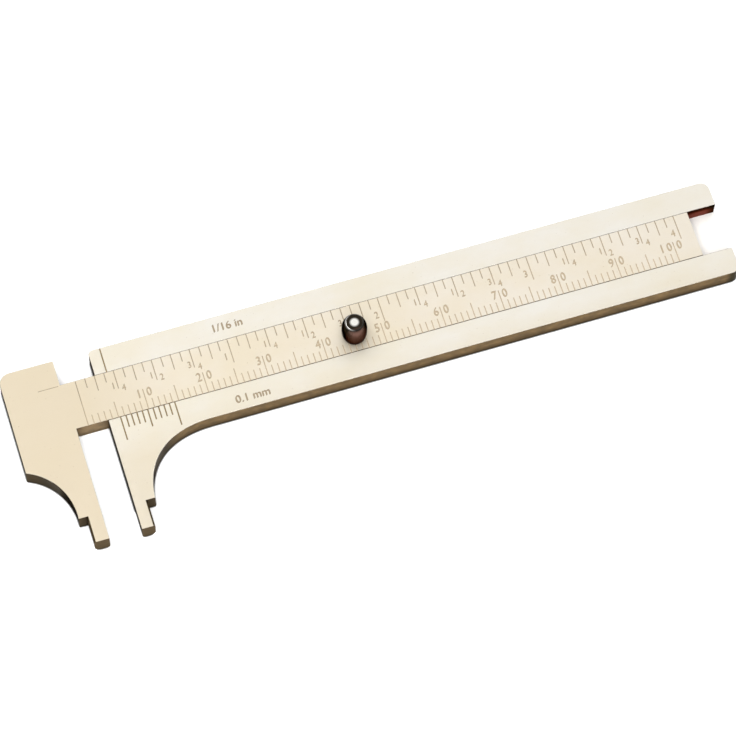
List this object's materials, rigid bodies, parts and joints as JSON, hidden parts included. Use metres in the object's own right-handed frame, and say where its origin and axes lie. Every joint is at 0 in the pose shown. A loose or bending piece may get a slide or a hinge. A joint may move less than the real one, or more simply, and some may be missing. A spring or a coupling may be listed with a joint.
{
  "type": "pocket vernier caliper",
  "caption": "Pocket slide caliper: a grooved brass frame with a fixed jaw, a brass slide with a sliding jaw and scales, and a round steel thumb knob.",
  "frame": {"origin": "in the fixed jaw's measuring plane, on the centre line of the groove, on the flat back face", "axes": "+X along the rule, away from the sliding jaw; +Y across the rule, away from the jaw tips; +Z out of the front face that carries the scales"},
  "size_m": [0.1207, 0.0323, 0.0085],
  "materials": {
    "frame_brass": "satin, lightly worn",
    "slide_brass": "satin, lightly worn",
    "knob_steel": "polished, dark",
    "pin_brass": "satin",
    "spring_bronze": "rolled strip"
  },
  "bodies": {
    "frame": {"frame": "frame_brass", "stop_pin": "pin_brass"},
    "slide": {"slide": "slide_brass", "thumb_knob": "knob_steel", "friction_spring": "spring_bronze", "spring_rivet": "pin_brass"}
  },
  "joints": [
    {"name": "slide_travel", "type": "slide", "parent": "frame", "child": "slide", "axis": [-1, 0, 0], "range_m": [-0.0053, 0.0967]}
  ]
}
